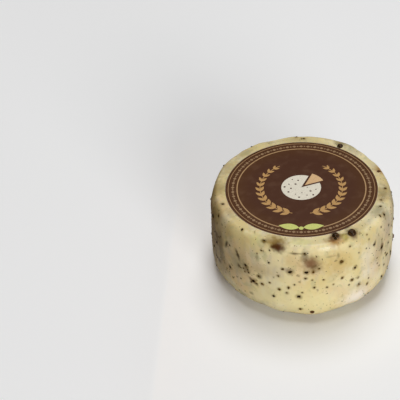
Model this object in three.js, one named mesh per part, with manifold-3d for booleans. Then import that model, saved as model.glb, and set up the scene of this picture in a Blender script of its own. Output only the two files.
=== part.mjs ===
// A small whole caciotta with black pepper, as it is sold: a low wheel of young cheese with a soft
// shoulder and a rounded foot, and a round label lying on its top face. Whole and cracked
// peppercorns stand out of the skin here and there, and others lift it from below.
// Millimetres, +Z up. The wheel stands on z = 0 round the Z axis, with its front towards -Y.
import * as THREE from "three";
import { mergeVertices } from "three/addons/utils/BufferGeometryUtils.js";
import Module from "manifold-3d";

// Driving dimensions
const WHEEL_HEIGHT = 63.5;
const GIRTH_RADIUS = 61.8; // widest, low on the wall, where the young cheese has settled
const WALL_TOP_RADIUS = 61.1;
const SHOULDER = { across: 5.3, down: 17 }; // quarter ellipse between the top face and the wall
const FOOT = { across: 17, up: 17.2 }; // quarter ellipse between the wall and the flat base
const OVAL = { share: 0.018, azimuth: 23 }; // the wheel is a little longer along this direction
const LABEL_RADIUS = 50;
const LABEL_THICKNESS = 0.35;
const SEAT_RADIUS = LABEL_RADIUS + 1; // the top face is flat this far out, for the label

// Azimuths are degrees from the front, growing towards +X. "Down" is the distance along the skin,
// from where the shoulder leaves the flat top face: it is negative on the rim of that face.

// Waves that make the hand-turned wheel uneven: wavelength, height, and how many directions.
const WAVES = [
  { length: 55, height: 0.1, count: 5 },
  { length: 24, height: 0.07, count: 7 },
  { length: 11, height: 0.035, count: 9 },
];
const WAVE_FADE = 6; // from nothing at the seat and at the base to their full height

// Broad swells and dents, then the small lumps that corns under the skin push up.
const SWELLS = [
  { azimuth: -36, down: 54, reach: 14, height: -0.7 },
  { azimuth: 6, down: 62, reach: 8, height: 0.8 },
  { azimuth: 38, down: 58, reach: 9, height: 0.6 },
  { azimuth: -25.5, down: 61, reach: 4.5, height: -1 },
  { azimuth: 32, down: 60, reach: 6, height: -0.6 },
  { azimuth: 100, down: 44, reach: 18, height: 0.3 },
  { azimuth: 125, down: 3, reach: 6, height: -0.7 },
  { azimuth: 148, down: 3, reach: 8, height: 1.1 },
  { azimuth: -164, down: 2, reach: 9, height: -0.8 },
  { azimuth: -120, down: 34, reach: 18, height: -0.5 },
  { azimuth: -100, down: 8, reach: 12, height: -0.5 },
  { azimuth: -14.5, down: 3.5, reach: 2.8, height: 0.55 },
  { azimuth: 6.5, down: 12, reach: 4.2, height: 0.5 },
  { azimuth: 29, down: -1.8, reach: 2, height: 0.9 },
  { azimuth: -82, down: 9, reach: 3.2, height: 0.5 },
  { azimuth: 128, down: 22, reach: 3.4, height: 0.55 },
  { azimuth: -150, down: 14, reach: 3, height: 0.5 },
];

// Whole corns that break the skin, with the share of each that stands out of it.
const WHOLE_CORNS = [
  { azimuth: 24, down: -4.2, size: 4.6, proud: 0.42 },
  { azimuth: 34.5, down: -1.1, size: 5.2, proud: 0.56 },
  { azimuth: 108, down: -0.8, size: 3.6, proud: 0.22 },
  { azimuth: 149.5, down: -3.1, size: 4.6, proud: 0.34 },
  { azimuth: -168, down: 12, size: 4.6, proud: 0.36 },
  { azimuth: -101, down: 27, size: 4.8, proud: 0.28 },
  { azimuth: 84, down: 38, size: 4.5, proud: 0.26 },
  { azimuth: 171, down: 41, size: 4.9, proud: 0.3 },
  { azimuth: -137, down: 50, size: 4.3, proud: 0.28 },
  { azimuth: 6.5, down: 54.7, size: 3.4, proud: 0.32 },
];

// Cracked bits that the front shows, nearly flush.
const SEEN_BITS = [
  { azimuth: -50, down: 37, size: 2.4 },
  { azimuth: -35.5, down: 25.5, size: 2.6 },
  { azimuth: -30, down: 36, size: 2.8 },
  { azimuth: -24, down: 36, size: 2.3 },
  { azimuth: -6.5, down: 20.5, size: 3.2 },
  { azimuth: -1.5, down: 40.5, size: 2.8 },
  { azimuth: 3, down: 20.5, size: 2.7 },
  { azimuth: 7, down: 20.5, size: 2.3 },
  { azimuth: 24, down: 16, size: 2.5 },
  { azimuth: 33, down: 25, size: 2.4 },
  { azimuth: 36, down: 41, size: 2.2 },
  { azimuth: 57, down: 23.5, size: 3 },
];
const BIT_PROUD = 0.16; // share of a cracked bit that stands out of the skin
const BIT_SIZE = { least: 1.8, most: 3.1 };
const SCATTERED_BITS = 34; // those all round, set out by rule
const SCATTER_DOWN = { from: 3, to: 62 };

const AROUND = 120; // steps round the wheel
const SKIN_ROWS = 26; // steps down the skin
const LABEL_AROUND = 96;
const GOLDEN_ANGLE = Math.PI * (3 - Math.sqrt(5));
const DEGREE = Math.PI / 180;

const wasm = await Module();
wasm.setup();

// Always the same "random" number from 0 to 1 for a given whole number.
function chance(seed) {
  const wave = Math.sin(seed * 12.9898 + 4.1414) * 43758.5453;
  return wave - Math.floor(wave);
}

// ---- The skin ----

// The skin in the plane of radius and height, from the edge of the seat down to the flat base.
function skinPath() {
  const turn = Math.PI / 2;
  const wallTop = WHEEL_HEIGHT - SHOULDER.down;
  const third = (wallTop - FOOT.up) / 3;
  const rimRadius = WALL_TOP_RADIUS - SHOULDER.across;
  const baseRadius = GIRTH_RADIUS - FOOT.across;
  const at = (radius, height) => new THREE.Vector2(radius, height);
  const path = new THREE.CurvePath();
  path.add(new THREE.LineCurve(at(SEAT_RADIUS, WHEEL_HEIGHT), at(rimRadius, WHEEL_HEIGHT)));
  path.add(
    new THREE.EllipseCurve(rimRadius, wallTop, SHOULDER.across, SHOULDER.down, turn, 0, true),
  );
  path.add(
    new THREE.CubicBezierCurve(
      at(WALL_TOP_RADIUS, wallTop),
      at(WALL_TOP_RADIUS, wallTop - third),
      at(GIRTH_RADIUS, FOOT.up + third),
      at(GIRTH_RADIUS, FOOT.up),
    ),
  );
  path.add(new THREE.EllipseCurve(baseRadius, FOOT.up, FOOT.across, FOOT.up, 0, -turn, true));
  return path;
}

const skin = skinPath();
const skinLength = skin.getLength();
const rimWidth = WALL_TOP_RADIUS - SHOULDER.across - SEAT_RADIUS;

// Height of the waves at a point: sines along directions spread evenly over a sphere.
function waves(point) {
  let height = 0;
  WAVES.forEach((octave, k) => {
    for (let i = 0; i < octave.count; i++) {
      const z = 1 - (2 * i + 1) / octave.count;
      const ring = Math.sqrt(1 - z * z);
      const turn = (i + k) * GOLDEN_ANGLE;
      const along = point.x * ring * Math.cos(turn) + point.y * ring * Math.sin(turn) + point.z * z;
      height += octave.height * Math.sin((2 * Math.PI * along) / octave.length + 2.4 * i + k);
    }
  });
  return height;
}

function swells(azimuth, down, radius) {
  return SWELLS.reduce((height, swell) => {
    const angle = azimuth - swell.azimuth * DEGREE;
    const across = Math.atan2(Math.sin(angle), Math.cos(angle)) * radius;
    const away = Math.hypot(across, down - swell.down) / swell.reach;
    return height + swell.height * Math.exp(-away * away);
  }, 0);
}

// The point of the skin at an azimuth, in radians, and a distance down, and its outward normal.
function onSkin(azimuth, down) {
  const share = THREE.MathUtils.clamp((down + rimWidth) / skinLength, 0, 1);
  const flat = skin.getPointAt(share);
  const tangent = skin.getTangentAt(share);
  const oval = 1 + OVAL.share * Math.cos(2 * (azimuth - OVAL.azimuth * DEGREE));
  const outward = new THREE.Vector3(Math.sin(azimuth), -Math.cos(azimuth), 0);
  const normal = outward.clone().multiplyScalar(-tangent.y);
  normal.z = tangent.x;
  const point = outward.clone().multiplyScalar(flat.x * oval);
  point.z = flat.y;
  const fromLabel = THREE.MathUtils.smoothstep(down, -rimWidth, WAVE_FADE - rimWidth);
  const fromBase = THREE.MathUtils.smoothstep(flat.y, 0, WAVE_FADE);
  const swell = swells(azimuth, down, flat.x) * THREE.MathUtils.smoothstep(down, -rimWidth, -1);
  point.addScaledVector(normal, (waves(point) * fromLabel + swell) * fromBase);
  return { point, normal };
}

// ---- Solids ----

function toSolid(geometry) {
  const bare = new THREE.BufferGeometry();
  bare.setAttribute("position", geometry.getAttribute("position"));
  if (geometry.index) bare.setIndex(geometry.index);
  const welded = mergeVertices(bare, 1e-4);
  return new wasm.Manifold(
    new wasm.Mesh({
      numProp: 3,
      vertProperties: welded.getAttribute("position").array,
      triVerts: new Uint32Array(welded.index.array),
    }),
  );
}

function toGeometry(solid) {
  const { vertProperties, triVerts } = solid.getMesh();
  const geometry = new THREE.BufferGeometry();
  geometry.setAttribute("position", new THREE.BufferAttribute(vertProperties, 3));
  geometry.setIndex(new THREE.BufferAttribute(triVerts, 1));
  geometry.computeVertexNormals();
  return geometry;
}

// The bare wheel: a turned profile, then each vertex of its skin moved to where the skin lies.
function wheelSolid() {
  const profile = [new THREE.Vector2(0, 0)];
  const downs = [null];
  for (let row = SKIN_ROWS; row >= 0; row--) {
    const share = row / SKIN_ROWS;
    profile.push(skin.getPointAt(share));
    downs.push(share * skinLength - rimWidth);
  }
  profile.push(new THREE.Vector2(0, WHEEL_HEIGHT));
  downs.push(null);
  const wheel = new THREE.LatheGeometry(profile, AROUND).rotateX(Math.PI / 2);
  const place = wheel.getAttribute("position");
  const uv = wheel.getAttribute("uv");
  for (let i = 0; i < place.count; i++) {
    const down = downs[Math.round(uv.getY(i) * (profile.length - 1))];
    if (down === null) continue;
    const turn = Math.round(uv.getX(i) * AROUND) % AROUND;
    const { point } = onSkin((turn / AROUND) * 2 * Math.PI, down);
    place.setXYZ(i, point.x, point.y, point.z);
  }
  return toSolid(wheel);
}

// One peppercorn or cracked bit, sunk in the skin so that the share called proud stands out.
function cornSolid({ azimuth, down, size, proud }, detail, seed) {
  const { point, normal } = onSkin(azimuth * DEGREE, down);
  const squash = 0.84 + 0.16 * chance(seed + 0.5);
  const corn = new THREE.IcosahedronGeometry(size / 2, detail)
    .scale(1, squash, (1 + squash) / 2)
    .rotateX(chance(seed) * Math.PI)
    .rotateZ(chance(seed + 1) * Math.PI);
  const centre = point.addScaledVector(normal, (proud - 0.5) * size);
  return toSolid(corn.translate(centre.x, centre.y, centre.z));
}

// Cracked bits all round, in a spiral that spreads them evenly, each moved a little off it.
function scatteredBits() {
  return Array.from({ length: SCATTERED_BITS }, (_, i) => {
    const spread = (i * (Math.sqrt(5) - 1)) / 2 + 0.06 * chance(i);
    return {
      azimuth: 60 + 240 * ((i + chance(i + 40)) / SCATTERED_BITS),
      down: THREE.MathUtils.lerp(SCATTER_DOWN.from, SCATTER_DOWN.to, spread % 1),
      size: THREE.MathUtils.lerp(BIT_SIZE.least, BIT_SIZE.most, chance(i + 80)),
    };
  });
}

function cheeseSolid() {
  const corns = WHOLE_CORNS.map((corn, i) => cornSolid(corn, 1, i));
  const bits = [...SEEN_BITS, ...scatteredBits()].map((bit, i) =>
    cornSolid({ ...bit, proud: BIT_PROUD }, 0, 100 + i),
  );
  return [...corns, ...bits].reduce((body, corn) => body.add(corn), wheelSolid());
}

function labelGeometry() {
  const top = WHEEL_HEIGHT + LABEL_THICKNESS;
  const profile = [
    [0, WHEEL_HEIGHT],
    [LABEL_RADIUS, WHEEL_HEIGHT],
    [LABEL_RADIUS, top],
    [0, top],
  ];
  const points = profile.map(([radius, height]) => new THREE.Vector2(radius, height));
  return new THREE.LatheGeometry(points, LABEL_AROUND).rotateX(Math.PI / 2);
}

function part(name, geometry, color, roughness) {
  const material = new THREE.MeshStandardMaterial({ color, roughness, metalness: 0 });
  const mesh = new THREE.Mesh(geometry, material);
  mesh.name = name;
  return mesh;
}

const caciotta = new THREE.Group();
caciotta.add(part("cheese", toGeometry(cheeseSolid()), 0xd9cca0, 0.5));
caciotta.add(part("label", labelGeometry(), 0x4f342a, 0.45));

export default caciotta;
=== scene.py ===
# %% [markdown]
# # A small caciotta with black pepper
#
# The real thing is a low wheel of young cheese, pale and a little waxy, with black pepper
# kneaded into the curd and a round printed label on its top face. The packed solids already
# hold its form. This script dresses them: the wheel gets a finer skin of the same form,
# wrinkled corns and broken bits of pepper are set into it, and the label gets its print.
# It is written in cells, to be read from top to bottom.

# %% The packed model
import math
import random

import bpy
import numpy as np
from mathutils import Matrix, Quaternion, Vector, noise


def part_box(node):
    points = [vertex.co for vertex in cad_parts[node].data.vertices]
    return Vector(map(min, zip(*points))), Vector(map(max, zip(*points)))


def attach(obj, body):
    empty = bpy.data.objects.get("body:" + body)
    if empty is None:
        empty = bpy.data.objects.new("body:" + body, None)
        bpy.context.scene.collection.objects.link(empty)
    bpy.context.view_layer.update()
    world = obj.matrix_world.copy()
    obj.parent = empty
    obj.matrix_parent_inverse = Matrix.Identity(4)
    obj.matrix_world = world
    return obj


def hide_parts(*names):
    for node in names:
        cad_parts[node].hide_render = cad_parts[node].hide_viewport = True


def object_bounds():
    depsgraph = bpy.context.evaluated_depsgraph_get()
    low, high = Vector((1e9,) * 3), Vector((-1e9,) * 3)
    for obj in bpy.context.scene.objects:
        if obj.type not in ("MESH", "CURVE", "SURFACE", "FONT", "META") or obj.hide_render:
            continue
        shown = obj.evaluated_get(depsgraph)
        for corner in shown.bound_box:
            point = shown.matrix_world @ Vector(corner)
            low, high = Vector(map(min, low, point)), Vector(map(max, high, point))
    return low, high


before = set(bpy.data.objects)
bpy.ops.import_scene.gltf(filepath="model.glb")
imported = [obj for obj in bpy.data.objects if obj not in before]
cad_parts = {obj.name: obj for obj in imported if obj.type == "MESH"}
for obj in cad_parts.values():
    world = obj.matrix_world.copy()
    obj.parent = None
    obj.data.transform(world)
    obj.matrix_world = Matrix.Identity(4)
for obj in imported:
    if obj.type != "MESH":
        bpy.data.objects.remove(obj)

cad_low, cad_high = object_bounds()
print("solids:", [round(side * 1000, 1) for side in cad_high - cad_low], "mm")

# %% [markdown]
# ## Sizes
#
# Blender works in metres here, but a cheese is easier to think about in millimetres, so every
# size of it below is in millimetres, and a mesh is scaled once, when it is made. What the
# packed solids can tell is read from them. The rest repeats the wheel's driving dimensions:
# it is widest low on its wall, where the young cheese has settled, and slightly oval.

# %% Driving sizes
MM = 0.001
label_low, label_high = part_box("label")
LABEL_RADIUS = (label_high.x - label_low.x) / 2 / MM
LABEL_TOP = label_high.z / MM
WHEEL_HEIGHT = label_low.z / MM
GIRTH_RADIUS = 61.8
WALL_TOP_RADIUS = 61.1
SHOULDER_ACROSS, SHOULDER_DOWN = 5.3, 17
FOOT_ACROSS, FOOT_UP = 17, 17.2
OVAL_SHARE, OVAL_AZIMUTH = 0.018, 23
SEAT_RADIUS = LABEL_RADIUS + 1
GOLDEN_ANGLE = math.pi * (3 - math.sqrt(5))
print("label radius", round(LABEL_RADIUS, 2), "mm, wheel height", round(WHEEL_HEIGHT, 2), "mm")

# %% [markdown]
# ## The line of the skin
#
# Cut the wheel down the middle and its skin is one line: flat under the label, a quarter
# ellipse over the shoulder, an almost straight wall, and another quarter ellipse into the
# foot. Places on the skin are given as an azimuth, in degrees from the front and growing to
# the right, and a distance down that line, counted from where the shoulder begins.

# %% Profile
CURVE_STEPS = 300
SEAT_STEPS = 50


def quarter_ellipse(radius, height, across, up, start):
    angle = np.radians(np.linspace(start, start - 90, CURVE_STEPS))
    return np.stack([radius + across * np.cos(angle), height + up * np.sin(angle)], axis=1)


def bezier(corners):
    t = np.linspace(0, 1, CURVE_STEPS)[:, None]
    a, b, c, d = np.array(corners)
    return (1 - t) ** 3 * a + 3 * (1 - t) ** 2 * t * b + 3 * (1 - t) * t**2 * c + t**3 * d


rim_radius = WALL_TOP_RADIUS - SHOULDER_ACROSS
wall_top = WHEEL_HEIGHT - SHOULDER_DOWN
wall_third = (wall_top - FOOT_UP) / 3
seat_radii = np.linspace(SEAT_RADIUS, rim_radius, SEAT_STEPS)
seat_line = np.stack([seat_radii, np.full(SEAT_STEPS, WHEEL_HEIGHT)], axis=1)
shoulder_line = quarter_ellipse(rim_radius, wall_top, SHOULDER_ACROSS, SHOULDER_DOWN, 90)
wall_line = bezier([
    (WALL_TOP_RADIUS, wall_top),
    (WALL_TOP_RADIUS, wall_top - wall_third),
    (GIRTH_RADIUS, FOOT_UP + wall_third),
    (GIRTH_RADIUS, FOOT_UP),
])
foot_line = quarter_ellipse(GIRTH_RADIUS - FOOT_ACROSS, FOOT_UP, FOOT_ACROSS, FOOT_UP, 0)
profile = np.concatenate([seat_line, shoulder_line[1:], wall_line[1:], foot_line[1:]])
steps = np.linalg.norm(np.diff(profile, axis=0), axis=1)
RIM_WIDTH = rim_radius - SEAT_RADIUS
profile_down = np.concatenate([[0], np.cumsum(steps)]) - RIM_WIDTH
profile_along = np.gradient(profile, profile_down, axis=0)
profile_along /= np.linalg.norm(profile_along, axis=1)[:, None]
SKIN_END = profile_down[-1]
print("the skin runs", round(SKIN_END + RIM_WIDTH, 1), "mm from the seat to the base")

# %% [markdown]
# ## Unevenness
#
# The wheel was turned by hand while it was soft, so it isn't true. Gentle waves are sums of
# sines along directions spread evenly over a sphere, which never line up into a pattern.
# Over them lie a few broad swells and dents, and small lumps where a corn lifts the skin
# from below. All of it is the same rule, with the same numbers, as the solid's.

# %% Waves and swells
WAVES = [(55, 0.1, 5), (24, 0.07, 7), (11, 0.035, 9)]  # length, height, directions
WAVE_SHIFT = 2.4  # how far each sine of a wave is shifted along, in radians
WAVE_FADE = 6  # the waves are whole this far from the seat and above the base
SWELLS_WHOLE = -1  # the swells rise from the seat and are whole from here down
SWELLS = [  # azimuth, down, reach, height
    (-36, 54, 14, -0.7),
    (6, 62, 8, 0.8),
    (38, 58, 9, 0.6),
    (-25.5, 61, 4.5, -1),
    (32, 60, 6, -0.6),
    (100, 44, 18, 0.3),
    (125, 3, 6, -0.7),
    (148, 3, 8, 1.1),
    (-164, 2, 9, -0.8),
    (-120, 34, 18, -0.5),
    (-100, 8, 12, -0.5),
    (-14.5, 3.5, 2.8, 0.55),
    (6.5, 12, 4.2, 0.5),
    (29, -1.8, 2, 0.9),
    (-82, 9, 3.2, 0.5),
    (128, 22, 3.4, 0.55),
    (-150, 14, 3, 0.5),
]


def smoothstep(value, start, end):
    share = np.clip((value - start) / (end - start), 0, 1)
    return share * share * (3 - 2 * share)


def waves(points):
    height = np.zeros(len(points))
    for k, (length, size, count) in enumerate(WAVES):
        for i in range(count):
            z = 1 - (2 * i + 1) / count
            ring = math.sqrt(1 - z * z)
            turn = (i + k) * GOLDEN_ANGLE
            direction = np.array([ring * math.cos(turn), ring * math.sin(turn), z])
            along = 2 * math.pi * (points @ direction) / length
            height += size * np.sin(along + WAVE_SHIFT * i + k)
    return height


def across_skin(azimuth, centre, radius):
    """Distance round the skin from a centre azimuth, in millimetres."""
    angle = azimuth - math.radians(centre)
    return np.arctan2(np.sin(angle), np.cos(angle)) * radius


def swells(azimuth, down, radius):
    height = np.zeros(len(azimuth))
    for centre, centre_down, reach, size in SWELLS:
        away = np.hypot(across_skin(azimuth, centre, radius), down - centre_down) / reach
        height += size * np.exp(-(away**2))
    return height


print(sum(count for _, _, count in WAVES), "sines and", len(SWELLS), "swells")


# %% Points on the skin
def on_skin(azimuth, down):
    """Points of the skin and their outward normals, from radians round and millimetres down."""
    azimuth, down = np.broadcast_arrays(np.atleast_1d(azimuth), np.atleast_1d(down))
    radius, height, along, fall = (
        np.interp(down, profile_down, column)
        for column in (*profile.T, *profile_along.T)
    )
    radius = np.where(down < -RIM_WIDTH, rim_radius + down, radius)
    oval = 1 + OVAL_SHARE * np.cos(2 * (azimuth - math.radians(OVAL_AZIMUTH)))
    out = np.stack([np.sin(azimuth), -np.cos(azimuth), np.zeros(len(azimuth))], axis=1)
    normal = out * -fall[:, None]
    normal[:, 2] = along
    point = out * (radius * oval)[:, None]
    point[:, 2] = height
    from_seat = smoothstep(down, -RIM_WIDTH, WAVE_FADE - RIM_WIDTH)
    from_base = smoothstep(height, 0, WAVE_FADE)
    swell = swells(azimuth, down, radius) * smoothstep(down, -RIM_WIDTH, SWELLS_WHOLE)
    relief = (waves(point) * from_seat + swell) * from_base
    return point + normal * relief[:, None], normal


wall_point = on_skin(0.0, 30.0)[0][0]
print("the wall in front is at y =", round(float(wall_point[1]), 2), "mm")

# %% [markdown]
# ## Where the pepper lies
#
# The curd holds everything from whole corns to dust. Whole corns and the larger broken bits
# are where the solid has them. Smaller bits that catch the eye on the front are listed one by
# one, and the rest are scattered by a rule, thinner near the label. Pepper isn't all black,
# so a bit can be given its own tone. Some bits lie under the skin and only show through it,
# blurred: those become stains and not pieces.

# %% Corns and bits
WHOLE_CORNS = [  # azimuth, down, size, share that stands out
    (24, -4.2, 4.6, 0.42),
    (34.5, -1.1, 5.2, 0.56),
    (108, -0.8, 3.6, 0.22),
    (149.5, -3.1, 4.6, 0.34),
    (-168, 12, 4.6, 0.36),
    (-101, 27, 4.8, 0.28),
    (84, 38, 4.5, 0.26),
    (171, 41, 4.9, 0.3),
    (-137, 50, 4.3, 0.28),
    (6.5, 54.7, 3.4, 0.32),
]
SEEN_BITS = [  # azimuth, down, size, and a tone where it matters, from 0, black, to 1, pale
    (-50, 37, 2.4, 0),
    (-35.5, 25.5, 2.6, 0.2),
    (-30, 36, 2.8, 0.5),
    (-24, 36, 2.3),
    (-6.5, 20.5, 3.2, 0),
    (-1.5, 40.5, 2.8, 0.3),
    (3, 20.5, 2.7, 0.3),
    (7, 20.5, 2.3),
    (24, 16, 2.5, 0.8),
    (33, 25, 2.4, 0.3),
    (36, 41, 2.2),
    (57, 23.5, 3, 0),
]
SMALL_BITS = [  # azimuth, down, size, tone
    (-41.5, 1, 1.7, 0),
    (-24, 1.5, 1.5),
    (-19.5, 16, 1.3, 0),
    (-11, 18.5, 1.8, 0.7),
    (-13.5, 25, 1.7, 0),
    (-26.5, 30, 1.5),
    (-37.6, 29.4, 1.1),
    (-36.6, 31.8, 1.2),
    (-34.2, 28.4, 1.1),
    (-33.6, 30.6, 1.4),
    (-35.6, 26.9, 1.2),
    (-31.9, 38, 1.5),
    (-39.8, 30.4, 1.2),
    (-27.8, 37.4, 1.2),
    (-7.5, 33.5, 1.8, 0.75),
    (-13, 36, 1.7, 0.75),
    (-8.5, 38, 1.7, 0.75),
    (-16.5, 43, 1.9, 0),
    (-19, 32.5, 1.5, 0.7),
    (-4, 30.7, 1.2, 0),
    (2, 6, 1.4),
    (10.5, 18.2, 1.3, 0.7),
    (2.5, 25.5, 1.8),
    (13, 27.5, 1.3, 0.9),
    (7.5, 33, 1.6, 0.7),
    (15, 34, 1.3, 0.9),
    (0.5, 37, 1.3, 0.6),
    (24.5, 29.5, 1.5, 0.75),
    (30, 6.5, 1.4),
    (36, 14.2, 1.1, 0.8),
    (43.5, 4.7, 1.1, 0.75),
    (44.5, 8.7, 1.1, 0.75),
    (48, 15, 1.6, 0.3),
    (57, 7.5, 1.2, 0.7),
    (57, 17.5, 1.1, 0.5),
    (67, 13.7, 1.6, 0.2),
    (67.5, 22, 1.5, 0.1),
    (66, 27.5, 1.7, 0.1),
    (52, 29.4, 1, 0.8),
    (52.5, 34.2, 1, 0.8),
    (54.5, 37.7, 1, 0.8),
    (31, 34, 1.7, 0.75),
    (35.5, 34.7, 1.4, 0.8),
    (43, 45, 1.6, 0.7),
    (57, 49, 1.7, 0.1),
    (-0.5, 52, 1.9, 0.75),
    (22.9, -1.7, 2.2, 0),
    (69, -1.5, 1.4),
    (89, -0.5, 1.7),
    (178, -2, 1.6),
]
BIT_PROUD = 0.16  # share of a broken bit that stands out
SPECK_PROUD = 0.22
print(len(SEEN_BITS), "bits and", len(SMALL_BITS), "small bits placed by hand")

# %% Scattering the rest
SCATTERED_BITS = 34
BIT_SIZES = (1.8, 3.1)
BIT_DOWNS = (3, 62)
BACK_START, BACK_SWEEP = 60, 240  # degrees: the scattered bits share the sides and the back
GOLDEN_SHARE = (math.sqrt(5) - 1) / 2
LOOSENESS = 0.06
SCATTERED_SPECKS = 150
SPECK_SIZES = (0.9, 1.9)
SPECK_DOWNS = (-3, 68)
FRONT_HALF = 60  # degrees to each side of the front, where the lists have the main bits
FRONT_LARGEST = 1.25
FRONT_KEPT = 0.35
UPPER_DOWN, UPPER_KEPT = 8, 0.4  # above here, near the label, fewer specks are kept


def chance(seed):
    """Always the same number from 0 to 1 for a given whole number."""
    wave = math.sin(seed * 12.9898 + 4.1414) * 43758.5453
    return wave - math.floor(wave)


def between(pair, share):
    return pair[0] + (pair[1] - pair[0]) * share


def scattered_bits():
    bits = []
    for i in range(SCATTERED_BITS):
        spread = (i * GOLDEN_SHARE + LOOSENESS * chance(i)) % 1
        azimuth = BACK_START + BACK_SWEEP * (i + chance(i + 40)) / SCATTERED_BITS
        bits.append((azimuth, between(BIT_DOWNS, spread), between(BIT_SIZES, chance(i + 80))))
    return bits


def scattered_specks(seed):
    """Small bits all over, but fewer and smaller ones on the front."""
    draw = random.Random(seed)
    specks = []
    while len(specks) < SCATTERED_SPECKS:
        azimuth, down = draw.uniform(-180, 180), draw.uniform(*SPECK_DOWNS)
        in_front = abs(azimuth) < FRONT_HALF
        kept = (FRONT_KEPT if in_front else 1) * (UPPER_KEPT if down < UPPER_DOWN else 1)
        if draw.random() < kept:
            largest = FRONT_LARGEST if in_front else SPECK_SIZES[1]
            specks.append((azimuth, down, draw.uniform(SPECK_SIZES[0], largest)))
    return specks


bits = SEEN_BITS + scattered_bits()
small_bits = SMALL_BITS + scattered_specks(seed=4)
print(len(WHOLE_CORNS), "whole corns,", len(bits), "bits,", len(small_bits), "small bits")

# %% [markdown]
# ## Stains, painted shade and painted light
#
# Pepper bleeds. Round a corn the fat turns ochre, and a bit under the skin shows as a soft
# brown or mauve cloud. A stain is an oval patch with a soft, ragged edge, upright or leaning,
# painted into a colour attribute of the skin: its alpha says how much of the stain there is.
# Painting it on the vertices lets every stain be placed and coloured on its own. The broad
# clouds come first, so that the small stains lie over them. Not all of them are stains: a
# group of khaki, umber and ochre clouds is painted shade, darker on the left and round the
# far rim, a lemon band under the label at the front is a painted highlight, the butter clouds
# partly paint the lighter foot, and dark lines along two creases are painted shade.


# %% Colours
def linear(red, green, blue):
    """A colour as a painter names it, 0 to 255, as the numbers that light works with."""
    def channel(value):
        share = value / 255
        return share / 12.92 if share <= 0.04045 else ((share + 0.055) / 1.055) ** 2.4

    return (channel(red), channel(green), channel(blue), 1.0)


OCHRE = linear(148, 118, 42)
ORANGE = linear(156, 108, 30)
BROWN = linear(78, 42, 8)
PLUM = linear(128, 90, 56)
OLIVE = linear(92, 74, 24)
BARK = linear(70, 50, 8)
RESIN = linear(114, 84, 12)
# the umber and the khaki are painted shade, laid along the left, the right edge and round the far
# rim
SHADE_UMBER = linear(112, 86, 44)
MOSS = linear(176, 158, 78)
SHADE_KHAKI = linear(138, 112, 62)
TAN = linear(204, 174, 108)
SAGE = linear(146, 142, 106)
LEMON = linear(214, 208, 136)
# the butter is partly the cheese's colour and partly painted light, which makes the foot lighter
BUTTER_AND_FOOT_LIGHT = linear(236, 222, 166)
LILAC = linear(176, 158, 136)
CHALK = linear(246, 234, 218)
HUSK = linear(172, 146, 104)
print("brown as light:", [round(part, 3) for part in BROWN[:3]])
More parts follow.
